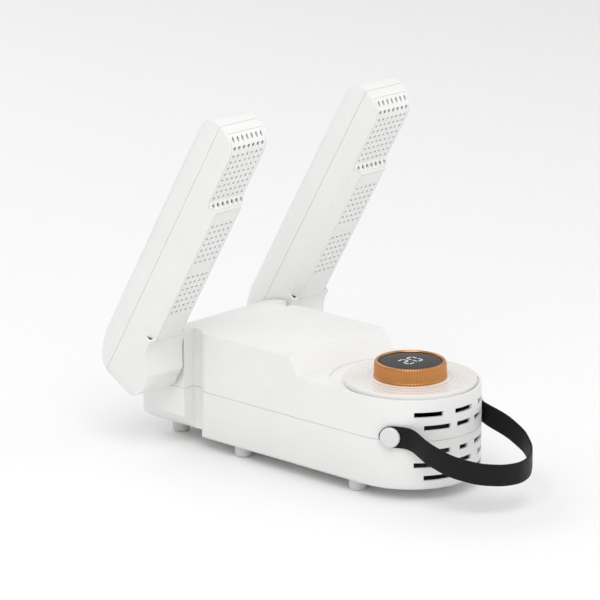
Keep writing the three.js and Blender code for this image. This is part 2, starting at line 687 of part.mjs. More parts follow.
function armForm(inset, sign) {
  const reach = ARM_HALF + 1;
  const bulge = raise(armRootSection(inset), -HUB_R - 1, HUB_BULGE_START + 8, 4);
  const column = raise(armSection(inset), HUB_BULGE_START - 2, ARM_TOP + 1, 4);
  return across(armSide(inset), -reach, reach, 7)
    .intersect(backward(armFront(inset, sign), -HUB_R - 2, ARM_BACK + 2, 5))
    .intersect(column.add(bulge));
}

// The hub bulges in front of the strip, so the section there is longer at the front.
function armRootSection(inset) {
  const front = -HUB_R + inset;
  const back = ARM_BACK - inset;
  const half = ARM_HALF - inset;
  const flare = half - ROOT_FRONT_CORNER;
  const shape = new THREE.Shape();
  shape.moveTo(-flare, front);
  shape.lineTo(flare, front);
  shape.quadraticCurveTo(half, front, half, front + ROOT_FRONT_CORNER);
  shape.lineTo(half, back - BACK_CORNER);
  shape.quadraticCurveTo(half, back, half - BACK_CORNER, back);
  shape.lineTo(BACK_CORNER - half, back);
  shape.quadraticCurveTo(-half, back, -half, back - BACK_CORNER);
  shape.lineTo(-half, front + ROOT_FRONT_CORNER);
  shape.quadraticCurveTo(-half, front, -flare, front);
  shape.closePath();
  return shape;
}

// Zone of an outlet panel, grown all round by a clearance and to a given depth.
const stripZone = (grow, depth) => box(
  PANEL_EDGE - STRIP_HALF - grow, STRIP_HALF - PANEL_EDGE + grow, -ARM_FRONT - 2, -ARM_FRONT + depth,
  HUB_BULGE_START + 6 - grow, HEAD_START - 3 + grow);
const headZone = (grow) => box(
  PANEL_EDGE - HEAD_HALF - grow, HEAD_HALF - PANEL_EDGE + grow, -ARM_FRONT - 2,
  HEAD_PLANE + HEAD_PANEL_WRAP + grow, HEAD_START + 1 - grow, ARM_TOP + 5);

// Pieces of an arm are cut from one form, so every one of them follows the same outline.
function armPieces(sign) {
  const outer = armForm(0, sign);
  const skin = outer.subtract(armForm(ARM_WALL, sign));
  const panelSkin = outer.subtract(armForm(PANEL_T, sign));
  const reach = ARM_HALF + 5;
  const far = ARM_TOP + 10;
  const backHalf = box(-reach, reach, SEAM_BACK + GAP / 2, ARM_BACK + 5, -HUB_R - 5, far);
  const frontHalf = box(-reach, reach, -HUB_R - 5, SEAM_BACK - GAP / 2, -HUB_R - 5, far);
  const journalHole = alongX(rod(TRUNNION_R + GAP, 0, reach, 24)).rotate([0, 0, sign > 0 ? 180 : 0]);
  return {
    back: skin.intersect(backHalf).subtract(journalHole),
    front: cutAll(skin.intersect(frontHalf), [journalHole, stripZone(GAP, ARM_WALL + 1), headZone(GAP)]),
    strip: panelSkin.intersect(stripZone(0, PANEL_T)).subtract(joinAll(stripHoles())),
    head: panelSkin.intersect(headZone(0)).subtract(joinAll(headHoles())),
  };
}

// One hole through an arm's front at (y, z), its axis leant up from straight ahead.
function hole(x, { y, z, lean = 0 }, radius, stretch = 1) {
  const geometry = new THREE.CylinderGeometry(radius, radius, HOLE_DEPTH, HOLE_SIDES);
  geometry.scale(1, 1, stretch);
  geometry.rotateX(-lean);
  geometry.translate(x, y, z);
  return solid(geometry);
}

function holeRow(count, spot, radius, stretch) {
  return Array.from({ length: count }, (_, i) =>
    hole((i - (count - 1) / 2) * HOLE_PITCH, spot, radius, stretch));
}

function stripHoles() {
  const rows = Array.from({ length: STRIP_GROUPS * STRIP_ROWS }, (_, i) =>
    HEAD_START - STRIP_TOP_ROW - Math.floor(i / STRIP_ROWS) * STRIP_GROUP_STEP - (i % STRIP_ROWS) * ROW_PITCH);
  return rows.flatMap((z) => holeRow(STRIP_COLUMNS, { y: -ARM_FRONT, z }, HOLE_R));
}

function headHoles() {
  const first = HEAD_START + HEAD_FIRST_ROW;
  const count = Math.floor((ARM_TOP - HEAD_LAST_ROW - first) / HEAD_ROW_PITCH) + 1;
  const plain = Array.from({ length: count }, (_, row) =>
    holeRow(HEAD_COLUMNS, { y: HEAD_PLANE, z: first + row * HEAD_ROW_PITCH }, HOLE_R)).flat();
  const lipZ = HEAD_START + HEAD_LIP_ROW;
  const lip = holeRow(HEAD_COLUMNS, { y: -ARM_FRONT + HEAD_RECESS / 2, z: lipZ }, BIG_HOLE_R);
  const curve = crownCurve(0);
  const curved = CROWN_ROWS.flatMap(({ share, radius, stretch }) => {
    const at = curve.getPoint(share);
    const along = curve.getTangent(share);
    return holeRow(HEAD_COLUMNS, { y: at.x, z: at.y, lean: Math.atan2(-along.x, -along.y) }, radius, stretch);
  });
  return [...plain, ...lip, ...curved];
}

// Hollow journal that carries an arm and lets the air through.
function trunnion(sign) {
  const armInner = ARM_X - ARM_HALF;
  const from = BLOCK_HALF - WALL - TRUNNION_REACH;
  const to = armInner + ARM_WALL + TRUNNION_REACH;
  const seat = armInner + ARM_WALL + GAP;
  const tube = pipe(TRUNNION_R - TRUNNION_WALL, TRUNNION_R, from, to, 24);
  const flange = pipe(TRUNNION_R - 1, FLANGE_R, seat, seat + FLANGE_T, 24);
  const body = alongX(tube.add(flange));
  return (sign > 0 ? body : body.rotate([0, 0, 180])).translate([0, HINGE_Y, HINGE_Z]);
}

// Felt ring that seals the journal between the block and the arm.
function hingeSeal(sign) {
  const ring = pipe(TRUNNION_R + GAP, FLANGE_R + 3, BLOCK_HALF + GAP, ARM_X - ARM_HALF - GAP, 24);
  const body = alongX(ring);
  return (sign > 0 ? body : body.rotate([0, 0, 180])).translate([0, HINGE_Y, HINGE_Z]);
}

// ---------- strap ----------
function strapTab(sign) {
  const inner = NOSE_R + 2 * GAP;
  const disc = pipe(STUD_SHANK_R + GAP, TAB_R, inner, inner + STRAP_T, 20);
  return atStud(disc, sign);
}

// Where the strap leaves its tab, in the tab's own plane.
function strapLeave(sign) {
  const angle = STUD_ANGLE * DEG;
  const radius = NOSE_R + 2 * GAP + STRAP_T / 2;
  return new THREE.Vector3(
    sign * (radius * Math.cos(angle) - STRAP_LEAVE * Math.sin(angle)),
    -radius * Math.sin(angle) - STRAP_LEAVE * Math.cos(angle),
    STUD_Z);
}

function strapLoop() {
  const half = (sign) => STRAP_HALF_ROUTE.map(([x, y, drop]) => new THREE.Vector3(sign * x, y, STUD_Z - drop));
  const [fx, fy, fDrop] = STRAP_FRONT;
  const points = [
    strapLeave(-1), ...half(-1), new THREE.Vector3(fx, fy, STUD_Z - fDrop), ...half(1).reverse(), strapLeave(1),
  ];
  const curve = new THREE.CatmullRomCurve3(points, false, 'centripetal');
  const up = new THREE.Vector3(0, 0, 1);
  const length = curve.getLength();
  const rings = Array.from({ length: STRAP_STEPS + 1 }, (_, i) => {
    const t = i / STRAP_STEPS;
    const fromEnd = Math.min(t, 1 - t) * length;
    const width = THREE.MathUtils.lerp(STRAP_END_W, STRAP_W, Math.min(1, fromEnd / STRAP_TAPER));
    const at = curve.getPointAt(t);
    const along = curve.getTangentAt(t);
    const thick = new THREE.Vector3().crossVectors(along, up).normalize().multiplyScalar(STRAP_T / 2);
    const wide = new THREE.Vector3().crossVectors(thick, along).normalize().multiplyScalar(width / 2);
    return [[1, 1], [1, -1], [-1, -1], [-1, 1]].map(([a, b]) =>
      at.clone().addScaledVector(thick, a).addScaledVector(wide, b));
  });
  return loft(rings);
}

// ---------- assembly ----------
const group = new THREE.Group();
const dryer = new THREE.Group();
group.add(dryer);

dryer.add(piece('upper_shell', upperShell(), FINISH.white));
dryer.add(piece('lower_shell', lowerShell(), FINISH.white));
dryer.add(piece('dial_plate', dialPlate(), FINISH.plate));
dryer.add(piece('knob_ring', knobRing(), FINISH.bronze));
dryer.add(piece('display_post', displayPost(), FINISH.inner));
dryer.add(piece('display_lens', displayLens(), FINISH.glass));
dryer.add(piece('fan_impeller', fanImpeller(), FINISH.inner));
dryer.add(piece('fan_shroud', fanShroud(), FINISH.inner));
dryer.add(piece('fan_motor', fanMotor(), FINISH.metal));
dryer.add(piece('heater_core', heaterCore(), FINISH.metal));
dryer.add(piece('main_board', mainBoard(), FINISH.board));
dryer.add(piece('air_manifold', airManifold(), FINISH.inner));
dryer.add(piece('power_inlet', powerInlet(), FINISH.inner));
dryer.add(piece('handle_strap', strapLoop(), FINISH.strap));

for (const { name, sign } of sides) {
  for (const place of Object.keys(footPlaces)) {
    dryer.add(piece(`foot_${place}_${name}`, foot(place, sign), FINISH.rubber));
  }
  dryer.add(piece(`strap_tab_${name}`, strapTab(sign), FINISH.strap));
  dryer.add(piece(`strap_stud_${name}`, strapStud(sign), FINISH.stud));
  dryer.add(piece(`trunnion_${name}`, trunnion(sign), FINISH.inner));
  dryer.add(piece(`hinge_seal_${name}`, hingeSeal(sign), FINISH.rubber));

  const arm = new THREE.Group();
  const pieces = armPieces(sign);
  arm.add(piece(`arm_back_${name}`, pieces.back, FINISH.white));
  arm.add(piece(`arm_front_${name}`, pieces.front, FINISH.white));
  arm.add(piece(`outlet_strip_${name}`, pieces.strip, FINISH.white));
  arm.add(piece(`outlet_head_${name}`, pieces.head, FINISH.white));
  arm.rotation.x = ARM_TILT * DEG;
  arm.position.set(sign * ARM_X, HINGE_Y, HINGE_Z);
  dryer.add(arm);
}

// The origin is under the middle of the whole dryer's box.
const frontEdge = STRAP_FRONT[1] - STRAP_T / 2;
const rearEdge = new THREE.Box3().setFromObject(dryer, true).max.y;
dryer.position.y = -(frontEdge + rearEdge) / 2;

export default group;
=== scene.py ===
"""A folding boot dryer: white moulded base and arms, ribbed dial, leather carry strap."""
import json
import logging
import math
from dataclasses import dataclass
from enum import Enum

import bmesh
import bpy
import numpy as np
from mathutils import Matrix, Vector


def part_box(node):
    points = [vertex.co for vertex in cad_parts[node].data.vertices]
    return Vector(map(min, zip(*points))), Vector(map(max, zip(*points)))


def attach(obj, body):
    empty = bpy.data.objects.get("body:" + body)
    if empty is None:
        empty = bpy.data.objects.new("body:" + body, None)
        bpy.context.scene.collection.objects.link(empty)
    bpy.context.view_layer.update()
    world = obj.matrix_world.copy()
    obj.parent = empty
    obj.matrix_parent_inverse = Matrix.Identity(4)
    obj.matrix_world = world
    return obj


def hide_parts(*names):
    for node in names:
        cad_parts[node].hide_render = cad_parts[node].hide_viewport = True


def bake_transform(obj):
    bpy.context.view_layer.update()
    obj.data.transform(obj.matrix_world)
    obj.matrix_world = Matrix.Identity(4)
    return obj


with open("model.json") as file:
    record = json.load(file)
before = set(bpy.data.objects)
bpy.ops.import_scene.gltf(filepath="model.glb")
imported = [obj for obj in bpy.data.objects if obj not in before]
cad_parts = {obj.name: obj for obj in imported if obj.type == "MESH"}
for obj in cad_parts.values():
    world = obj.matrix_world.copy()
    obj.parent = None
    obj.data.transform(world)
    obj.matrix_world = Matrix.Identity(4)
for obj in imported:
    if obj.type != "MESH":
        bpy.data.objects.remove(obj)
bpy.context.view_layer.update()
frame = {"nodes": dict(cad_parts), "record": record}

MM = 0.001
SECTION_POINTS = 28   # round one section of a strap
SIDE_POWER = 0.3
FACE_POWER = 0.5
DRIFT_SIZE = 30 * MM  # how far apart slow changes of colour and gloss are
DRIFT_GLOSS = 0.08    # how much the roughness drifts
COAT_ROUGHNESS = 0.06
BRUSH_STRETCH = 0.05
SIDES = ("left", "right")
log = logging.getLogger("dryer")


# ---------- shader expressions ----------
class Wire:
    """One shader socket that takes part in arithmetic."""

    def __init__(self, tree: bpy.types.NodeTree, socket: bpy.types.NodeSocket) -> None:
        """Keeps the tree and the socket.

        Args:
            tree: The node tree that the socket belongs to.
            socket: An output socket.
        """
        self.tree = tree
        self.socket = socket

    def _math(self, operation: str, left: "Wire | float", right: "Wire | float") -> "Wire":
        """Adds one Math node.

        Args:
            operation: The Math node's operation.
            left: First value or wire.
            right: Second value or wire.

        Returns:
            The result as a wire.
        """
        node = self.tree.nodes.new("ShaderNodeMath")
        node.operation = operation
        for place, value in enumerate((left, right)):
            if isinstance(value, Wire):
                self.tree.links.new(value.socket, node.inputs[place])
            else:
                node.inputs[place].default_value = value
        return Wire(self.tree, node.outputs[0])

    def __add__(self, other: "Wire | float") -> "Wire":
        """This plus another."""
        return self._math("ADD", self, other)

    def __sub__(self, other: "Wire | float") -> "Wire":
        """This less another."""
        return self._math("SUBTRACT", self, other)

    def __rsub__(self, other: float) -> "Wire":
        """A number less this."""
        return self._math("SUBTRACT", other, self)

    def __mul__(self, other: "Wire | float") -> "Wire":
        """This times another."""
        return self._math("MULTIPLY", self, other)

    __radd__ = __add__
    __rmul__ = __mul__

    def sine(self) -> "Wire":
        """The sine of this value."""
        return self._math("SINE", self, 0.0)


class Paint:
    """One material under construction, with its Principled shader."""

    def __init__(self, name: str) -> None:
        """Makes an empty material of that name."""
        self.material = bpy.data.materials.new(name)
        self.material.use_nodes = True
        self.tree = self.material.node_tree
        self.shader = next(n for n in self.tree.nodes if n.type == "BSDF_PRINCIPLED")

    def node(self, kind: str, settings: dict, inputs: dict, output: int | str = 0) -> Wire:
        """Adds one node.

        Args:
            kind: The node's type name.
            settings: Properties that are set first.
            inputs: Values or wires by socket name or number.
            output: Name or number of the output to return.

        Returns:
            That output as a wire.
        """
        node = self.tree.nodes.new(kind)
        for key, value in settings.items():
            setattr(node, key, value)
        for key, value in inputs.items():
            if isinstance(value, Wire):
                self.tree.links.new(value.socket, node.inputs[key])
            else:
                node.inputs[key].default_value = value
        return Wire(self.tree, node.outputs[output])

    def place(self, stretch: tuple = (1.0, 1.0, 1.0), centre: tuple = (0.0, 0.0, 0.0)) -> Wire:
        """Object coordinates, measured from a centre and stretched along each axis."""
        there = self.node("ShaderNodeTexCoord", {}, {}, "Object")
        moved = self.node("ShaderNodeVectorMath", {"operation": "SUBTRACT"}, {0: there, 1: centre})
        return self.node("ShaderNodeVectorMath", {"operation": "MULTIPLY"}, {0: moved, 1: stretch})

    def noise(self, where: Wire, size: float, detail: float = 3.0) -> Wire:
        """Fractal noise from 0 to 1 with features of a size in metres."""
        return self.node("ShaderNodeTexNoise", {}, {"Vector": where, "Scale": 1.0 / size, "Detail": detail})

    def tint(self, factor: Wire, dark: tuple, light: tuple) -> Wire:
        """A colour between two, by a factor from 0 to 1."""
        ends = {0: factor, 6: (*dark, 1), 7: (*light, 1)}
        return self.node("ShaderNodeMix", {"data_type": "RGBA"}, ends, 2)

    def feed(self, name: str, value: "Wire | float | tuple") -> None:
        """Sets or links one socket of the Principled shader."""
        if isinstance(value, Wire):
            self.tree.links.new(value.socket, self.shader.inputs[name])
        else:
            self.shader.inputs[name].default_value = value

    def relief(self, height: Wire, depth: float) -> None:
        """Feeds a height through a Bump node, with its depth in metres, to Normal."""
        bump = self.node("ShaderNodeBump", {}, {"Height": height, "Distance": depth, "Strength": 1.0})
        self.feed("Normal", bump)


# ---------- finishes ----------
class Pattern(Enum):
    """What a finish's fine relief looks like."""

    SPARK = "spark-eroded moulding grain"
    RINGS = "turned rings about the dial's axis"
    BRUSHED = "fine upright brushing"
    HIDE = "leather grain"
    SOLID = "no relief"


@dataclass(frozen=True)
class Finish:
    """One surface finish, with sizes in metres."""

    name: str
    colour: tuple
    roughness: float
    pattern: Pattern = Pattern.SPARK
    grain: float = 0.0006
    depth: float = 0.00003
    variation: float = 0.03
    metallic: float = 0.0
    coat: float = 0.0
    specular: float = 0.5
    centre: tuple = (0.0, 0.0, 0.0)

    def build(self) -> bpy.types.Material:
        """Makes the material: colour and roughness drift slowly, and the relief is fine.

        Returns:
            The finished material.
        """
        paint = Paint(self.name)
        paint.feed("Metallic", self.metallic)
        paint.feed("Coat Weight", self.coat)
        paint.feed("Specular IOR Level", self.specular)
        paint.feed("Coat Roughness", COAT_ROUGHNESS)
        where = paint.place(centre=self.centre)
        drift = paint.noise(where, DRIFT_SIZE)
        fine = paint.noise(where, self.grain)
        dark = tuple(c * (1 - 2 * self.variation) for c in self.colour)
        light = tuple(min(1.0, c * (1 + self.variation)) for c in self.colour)
        mottle = drift * 0.6 + fine * 0.4
        if self.pattern is Pattern.RINGS:
            apart = paint.node("ShaderNodeVectorMath", {"operation": "LENGTH"},
                               {0: paint.place((1.0, 1.0, 0.0), self.centre)}, "Value")
            fine = (apart * (math.tau / self.grain)).sine() * 0.5 + 0.5
            mottle = drift * 0.7 + fine * 0.3
        elif self.pattern is Pattern.BRUSHED:
            fine = paint.noise(paint.place((1.0, 1.0, BRUSH_STRETCH), self.centre), self.grain)
            mottle = drift * 0.3 + fine * 0.7
        elif self.pattern is Pattern.HIDE:
            cells = paint.node("ShaderNodeTexVoronoi", {"feature": "DISTANCE_TO_EDGE"},
                               {"Vector": where, "Scale": 1.0 / self.grain}, "Distance")
            fine = cells * 1.6 + fine * 0.35
            mottle = cells * 0.8 + drift * 0.4
        paint.feed("Base Color", paint.tint(mottle, dark, light))
        paint.feed("Roughness", drift * DRIFT_GLOSS + (self.roughness - DRIFT_GLOSS / 2))
        if self.pattern is not Pattern.SOLID:
            paint.relief(fine, self.depth)
        return paint.material


# ---------- surfaces ----------
def mesh_object(name: str, points: np.ndarray, faces: list, finish: bpy.types.Material,
                sharp: float = 0.6) -> bpy.types.Object:
    """Puts points and faces into a smooth mesh at the origin.

    Args:
        name: The piece's name.
        points: Places in metres, N by 3.
        faces: Vertex numbers of each face.
        finish: The material.
        sharp: Edges that turn by more than this angle stay crisp.

    Returns:
        The new object.
    """
    mesh = bpy.data.meshes.new(name)
    mesh.from_pydata(points, [], faces)
    mesh.validate()
    mesh.materials.append(finish)
    mesh.shade_smooth()
    mesh.set_sharp_from_angle(angle=sharp)
    piece = bpy.data.objects.new(name, mesh)
    bpy.context.scene.collection.objects.link(piece)
    return piece


def grid_faces(rows: int, columns: int, close_rows: bool, close_columns: bool) -> np.ndarray:
    """Quads of a grid, whose last row or column may join its first."""
    r = np.arange(rows if close_rows else rows - 1)[:, None]
    c = np.arange(columns if close_columns else columns - 1)[None, :]
    r2, c2 = (r + 1) % rows, (c + 1) % columns
    quads = (r * columns + c, r * columns + c2, r2 * columns + c2, r2 * columns + c)
    return np.stack(np.broadcast_arrays(*quads), -1).reshape(-1, 4)


def lathe(profile: list, turns: int, ribs: int = 0, rib_rows: tuple = (), rib_depth: float = 0.0) -> tuple:
    """Turns a profile about Z: x = r cos a, y = r sin a, z as given.

    Where ribs are asked for, r falls by depth times half of 1 - cos(ribs a) on those rows.
    A profile that starts and ends on the axis closes at its poles, and any other closes on itself.

    Args:
        profile: Radius and height pairs in metres, going up the outside.
        turns: Steps round.
        ribs: Number of ribs.
        rib_rows: Rows of the profile that carry the ribs.
        rib_depth: Depth of the ribs.

    Returns:
        Points and faces.
    """
    rows = np.array(profile, float)
    poles = rows[0, 0] == 0
    body = rows[1:-1] if poles else rows
    angle = np.linspace(0, math.tau, turns, endpoint=False)[None, :]
    radius = np.repeat(body[:, :1], turns, 1)
    for row in rib_rows:
        radius[row] -= rib_depth * 0.5 * (1 - np.cos(ribs * angle[0]))
    height = np.repeat(body[:, 1:], turns, 1)
    points = np.stack((radius * np.cos(angle), radius * np.sin(angle), height), -1).reshape(-1, 3)
    faces = grid_faces(len(body), turns, not poles, True).tolist()
    if poles:
        last = len(points) - turns
        points = np.vstack((points, (0, 0, rows[0, 1]), (0, 0, rows[-1, 1])))
        step = np.arange(turns)
        after = (step + 1) % turns
        faces += np.stack((after, step, np.full(turns, len(points) - 2)), -1).tolist()
        faces += np.stack((step + last, after + last, np.full(turns, len(points) - 1)), -1).tolist()
    return points, faces


def swept(route: np.ndarray, width: np.ndarray, thick: float, lean: np.ndarray) -> tuple:
    """A flat strap: a rounded rectangle carried along a route, closed at both ends.

    Each section is centre + across * u * width / 2 + out * v * thick / 2. u is the cosine raised to
    SIDE_POWER and v the sine raised to FACE_POWER, each with its sign kept, which flattens the faces
    and rounds the corners.

    Args:
        route: Centre line, N by 3.
        width: Strap width at each point.
        thick: Strap thickness.
        lean: The across direction at each point, N by 3.

    Returns:
        Points and faces.
    """
    along = np.gradient(route, axis=0)
    along /= np.linalg.norm(along, axis=1, keepdims=True)
    across = lean - along * (lean * along).sum(1, keepdims=True)
    across /= np.linalg.norm(across, axis=1, keepdims=True)
    out = np.cross(along, across)
    a = np.linspace(0, math.tau, SECTION_POINTS, endpoint=False)
    u = np.sign(np.cos(a)) * np.abs(np.cos(a)) ** SIDE_POWER
    v = np.sign(np.sin(a)) * np.abs(np.sin(a)) ** FACE_POWER
    points = (route[:, None] + across[:, None] * (u[None, :, None] * width[:, None, None] / 2)
              + out[:, None] * (v[None, :, None] * thick / 2))
    rows, columns = points.shape[:2]
    faces = grid_faces(rows, columns, False, True)[:, ::-1].tolist()
    faces += [list(range(columns)), list(range(columns * (rows - 1), columns * rows))[::-1]]
    return points.reshape(-1, 3), faces


def outward(piece: bpy.types.Object) -> None:
    """Turns every face of a closed piece outwards."""
    work = bmesh.new()
    work.from_mesh(piece.data)
    bmesh.ops.recalc_face_normals(work, faces=work.faces)
    work.to_mesh(piece.data)
    work.free()


def corners(node: str) -> tuple:
    """Lowest and highest corner of a CAD node, as arrays."""
    low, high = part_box(node)
    return np.array(low), np.array(high)


# ---------- sub-assemblies ----------
@dataclass
class Moulding:
    """A moulded piece: its CAD form, merged and shaded smooth, with crisp corners."""

    finish: bpy.types.Material
    slot: str = "shell_white"
    sharp: float = math.radians(32)

    def build(self, node: str, body: str) -> bpy.types.Object:
        """Makes the shell and puts it in its node's place.

        Args:
            node: The CAD node that it stands for.
            body: The body that it rides on.

        Returns:
            The new piece.
        """
        mesh = frame["nodes"][node].data
        flat = np.zeros(len(mesh.vertices) * 3)
        mesh.vertices.foreach_get("co", flat)
        corner = np.zeros(len(mesh.loops), int)
        mesh.loops.foreach_get("vertex_index", corner)
        points, merged = np.unique(np.round(flat.reshape(-1, 3), 6), axis=0, return_inverse=True)
        faces = merged.reshape(-1)[corner].reshape(-1, 3)
        whole = ((faces[:, 0] != faces[:, 1]) & (faces[:, 1] != faces[:, 2]) & (faces[:, 0] != faces[:, 2]))
        piece = mesh_object(f"{node}_skin", points, faces[whole].tolist(), self.finish, self.sharp)
        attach(piece, body)
        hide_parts(node)
        return piece


@dataclass
class Dial:
    """The dial plate, its ribbed ring, the display window and the digits on it."""

    plate: bpy.types.Material
    ring: bpy.types.Material
    glass: bpy.types.Material
    digits: bpy.types.Material
    ribs: int = 78
    rib_depth: float = 0.35 * MM
    turns: int = 624
    window_turns: int = 128
    plate_turns: int = 256
    ring_shares: tuple = (0.94, 0.86, 0.78, 0.70, 0.62)
    ring_half: float = 0.35 * MM
    ring_depth: float = 0.18 * MM
    digit_height: float = 13 * MM
    bar_height: float = 0.05 * MM

    def _add(self, name: str, shape: tuple, centre: np.ndarray, finish: bpy.types.Material,
             body: str, nodes: tuple) -> None:
        """Places one turned piece on the dial's axis, on its body and slot."""
        points, faces = shape
        piece = mesh_object(name, points + centre, faces, finish)
        outward(piece)
        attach(piece, body)
        if nodes:
            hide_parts(*nodes)

    def build(self) -> None:
        """Makes the dial's pieces from their nodes' boxes."""
        low, high = corners("knob_ring")
        axis = np.array(((low[0] + high[0]) / 2, (low[1] + high[1]) / 2, 0.0))
        radius, base, top = (high[0] - low[0]) / 2, low[2], high[2]
        hole = (corners("display_lens")[1][0] - corners("display_lens")[0][0]) / 2 + 0.3 * MM
        profile = [(hole, base + 2 * MM), (radius - 1.2 * MM, base), (radius - 0.3 * MM, base + 0.2 * MM),
                   (radius, base + 0.9 * MM), (radius, base + 2.6 * MM), (radius - 0.3 * MM, base + 3.2 * MM),
                   (radius - 0.6 * MM, top - 3.0 * MM), (radius - 0.9 * MM, top - 1.6 * MM),
                   (radius - 1.7 * MM, top - 0.4 * MM), (radius - 2.6 * MM, top),
                   (hole + 0.5 * MM, top - 0.3 * MM), (hole, top - 1.0 * MM)]
        self._add("ribbed_ring", lathe(profile, self.turns, self.ribs, (5, 6, 7), self.rib_depth),
                  axis, self.ring, "knob", ("knob_ring",))
        low, high = corners("display_lens")
        reach, floor, crown = (high[0] - low[0]) / 2, low[2], high[2]
        window = [(0, floor), (reach - 0.2 * MM, floor), (reach, floor + 0.2 * MM), (reach, crown - 0.9 * MM),
                  (reach - 0.5 * MM, crown - 0.4 * MM), (reach * 0.8, crown - 0.15 * MM),
                  (reach * 0.4, crown - 0.04 * MM), (0, crown)]
        self._add("display_window", lathe(window, self.window_turns), axis, self.glass, "base",
                  ("display_lens",))
        low, high = corners("dial_plate")
        outer, under, face = (high[0] - low[0]) / 2, low[2], high[2]
        bore = (corners("display_post")[1][0] - corners("display_post")[0][0]) / 2 + 0.4 * MM
        steps = [(bore, under), (outer - 0.4 * MM, under), (outer, under + 0.4 * MM),
                 (outer, face - 0.8 * MM), (outer - 0.3 * MM, face - 0.25 * MM), (outer - 1.0 * MM, face)]
        for share in self.ring_shares:
            r = outer * share
            steps += [(r + self.ring_half, face), (r, face - self.ring_depth), (r - self.ring_half, face)]
        steps += [(bore + 0.3 * MM, face), (bore, face - 0.3 * MM)]
        self._add("ringed_plate", lathe(steps, self.plate_turns), axis, self.plate, "base",
                  ("dial_plate",))
        self._digits(axis, crown + 0.06 * MM)

    def _digits(self, axis: np.ndarray, height: float) -> None:
        """Draws two seven-segment digits as thin lit bars on the window.

        A bar runs between its two ends but stops short of each by 0.6 of its width, keeps one width, and lies
        flat at one height.
        """
        tall, wide, bar = self.digit_height, self.digit_height * 0.52, self.digit_height * 0.1
        spots = {"a": (0, 1, "h"), "b": (1, 0.5, "v"), "c": (1, 0, "v"), "d": (0, 0, "h"),
                 "e": (0, 0, "v"), "f": (0, 0.5, "v"), "g": (0, 0.5, "h")}
        bars = []
        for start, lit in ((-wide * 1.3, "abged"), (wide * 0.3, "abcdef")):
            for part in lit:
                across, up, way = spots[part]
                x, y = start + across * wide, (up - 0.5) * tall
                long = (wide, 0.0) if way == "h" else (0.0, tall / 2)
                bars.append((x, y, x + long[0], y + long[1]))
        ends = np.array(bars)
        begin, finish_at = ends[:, :2], ends[:, 2:]
        way = finish_at - begin
        way /= np.linalg.norm(way, axis=1, keepdims=True)
        side = np.stack((-way[:, 1], way[:, 0]), -1) * bar / 2
        a, b = begin + way * bar * 0.6, finish_at - way * bar * 0.6
        flat = np.stack((a - side, b - side, b + side, a + side), 1).reshape(-1, 2)
        low = np.column_stack((flat, np.zeros(len(flat)))) + axis + (0, 0, height - self.bar_height)
        top = low + (0, 0, self.bar_height)
        box = np.array(((3, 2, 1, 0), (4, 5, 6, 7), (0, 1, 5, 4), (1, 2, 6, 5), (2, 3, 7, 6), (3, 0, 4, 7)))
        n = len(bars)
        start_low = np.arange(n)[:, None, None] * 4
        raised = box[None] - 4 + start_low + 4 * n
        quads = np.where(box[None] < 4, box[None] + start_low, raised).reshape(-1, 4)
        piece = mesh_object("display_digits", np.vstack((low, top)), quads.tolist(), self.digits)
        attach(piece, "base")


@dataclass
class CarryStrap:
    """A leather strap from tab to tab: it hangs in front of the nose, with a stud at each end."""

    leather: bpy.types.Material
    nose: float = 60.0 * MM
    width: float = 18.5 * MM
    thick: float = 2.2 * MM
    lift: float = 0.6 * MM
    drops: tuple = ((-9.0, -64.0, 7.5), (-13.0, -86.0, 15.0), (-26.0, -105.0, 20.5), (-43.0, -117.0, 23.0))
    front_drop: float = 23.5
    tab_overhang: float = 12.0 * MM
    leave: float = 15.0 * MM
    steps: int = 141
    easings: int = 16
    blend_from: float = 4.0 * MM
    blend_to: float = 18.0 * MM

    def build(self) -> None:
        """Makes the strap from the studs, the tabs and the loop that it stands for."""
        ring_low, ring_high = corners("knob_ring")
        axis_y = (ring_low[1] + ring_high[1]) / 2
        tab_low, tab_high = corners("strap_tab_right")
        loop_low, _ = corners("handle_strap")
        stud_low, stud_high = corners("strap_stud_right")
        reach = self.nose + self.thick / 2 + self.lift
        turn = math.asin((axis_y - (stud_low[1] + stud_high[1]) / 2) / self.nose)
        middle = (tab_low[2] + tab_high[2]) / 2
        pivot = np.array((reach * math.cos(turn), axis_y - reach * math.sin(turn), middle))
        back = np.array((math.sin(turn), math.cos(turn), 0.0))
        front_y = loop_low[1] + self.thick / 2
        half = [pivot + back * self.tab_overhang, pivot, pivot - back * self.leave]
        half += [np.array((self.nose + dx * MM, axis_y + y * MM, pivot[2] - drop * MM))
                 for dx, y, drop in self.drops]
        front = np.array((0.0, front_y, pivot[2] - self.front_drop * MM))
        knots = np.array(half + [front] + [p * (-1, 1, 1) for p in reversed(half)])
        span = np.concatenate(([0], np.cumsum(np.linalg.norm(np.diff(knots, axis=0), axis=1))))
        fine = np.linspace(0, span[-1], self.steps)
        route = np.stack([np.interp(fine, span, knots[:, k]) for k in range(3)], -1)
        for _ in range(self.easings):  # each point moves half-way to the mean of its neighbours, ends held
            route[1:-1] = route[1:-1] * 0.5 + (route[:-2] + route[2:]) * 0.25
        ends = np.minimum(fine, span[-1] - fine)
        tab = (tab_high[2] - tab_low[2]) / 2
        width = self.width * np.sqrt(np.clip(1 - np.clip(1 - ends / tab, 0, 1) ** 2, 0.04, 1))
        lean = np.repeat([[0.0, 0.0, 1.0]], len(route), 0)
        points, faces = swept(route, width, self.thick, lean)
        strap = mesh_object("leather_strap", points, faces, self.leather, 1.0)
        outward(strap)
        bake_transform(strap)
        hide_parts("handle_strap", "strap_tab_left", "strap_tab_right")


